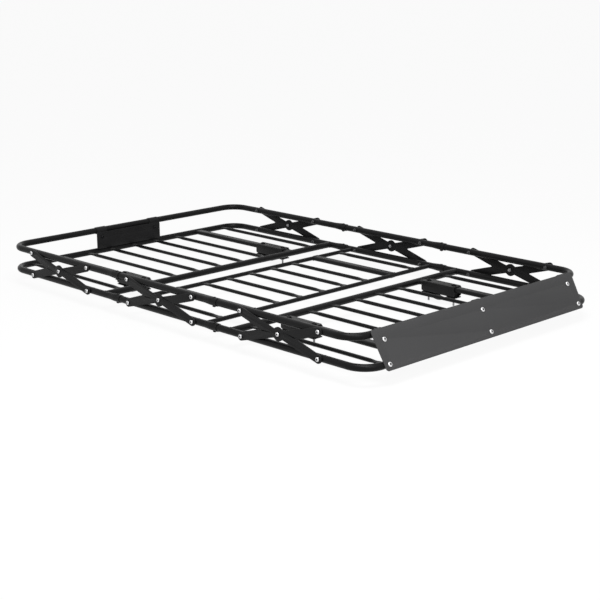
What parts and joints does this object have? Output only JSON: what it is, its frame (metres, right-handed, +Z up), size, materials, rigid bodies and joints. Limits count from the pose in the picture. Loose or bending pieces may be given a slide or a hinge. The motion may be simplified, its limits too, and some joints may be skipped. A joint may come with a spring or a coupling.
{
  "type": "roof cargo basket",
  "caption": "Low tubular steel roof cargo basket in bolted sections, with crossed side braces, a slatted floor, a sloping wind fairing and crossbar clamps.",
  "frame": {"origin": "on the ground plane under the middle of the basket's footprint, level with the ends of the clamp bolts", "axes": "+X forward to the wind fairing, +Y to the vehicle's left, +Z up"},
  "size_m": [1.5894, 0.989, 0.1381],
  "materials": {
    "powder_black": "satin black powder coat",
    "fairing_grey": "matt dark grey paint",
    "clamp_black": "satin black coat",
    "packer_rubber": "black moulded rubber",
    "zinc_steel": "zinc plated"
  },
  "bodies": {
    "root": {"clamp_bolts": "zinc_steel", "clamp_jaw_front_left": "clamp_black", "clamp_jaw_front_right": "clamp_black", "clamp_jaw_rear_left": "clamp_black", "clamp_jaw_rear_right": "clamp_black", "clamp_packers": "packer_rubber", "clamp_saddle_front_left": "clamp_black", "clamp_saddle_front_right": "clamp_black", "clamp_saddle_rear_left": "clamp_black", "clamp_saddle_rear_right": "clamp_black", "clamp_top_plates": "clamp_black", "fairing_straps": "powder_black", "front_brace_left": "powder_black", "front_brace_right": "powder_black", "front_crossbar": "powder_black", "front_floor_rail": "powder_black", "front_floor_slats": "powder_black", "front_guard_rail": "powder_black", "front_mount_tube_left": "powder_black", "front_mount_tube_right": "powder_black", "middle_brace_left": "powder_black", "middle_brace_right": "powder_black", "middle_floor_rail_left": "powder_black", "middle_floor_rail_right": "powder_black", "middle_floor_slats": "powder_black", "middle_front_crossbar": "powder_black", "middle_guard_rail_left": "powder_black", "middle_guard_rail_right": "powder_black", "middle_mount_tube_left": "powder_black", "middle_mount_tube_right": "powder_black", "middle_rear_crossbar": "powder_black", "rear_brace_left": "powder_black", "rear_brace_right": "powder_black", "rear_crossbar": "powder_black", "rear_floor_rail": "powder_black", "rear_floor_slats": "powder_black", "rear_guard_rail": "powder_black", "rear_mount_tube_left": "powder_black", "rear_mount_tube_right": "powder_black", "rear_plate": "powder_black", "rear_plate_straps": "powder_black", "wind_fairing": "fairing_grey"}
  },
  "joints": []
}
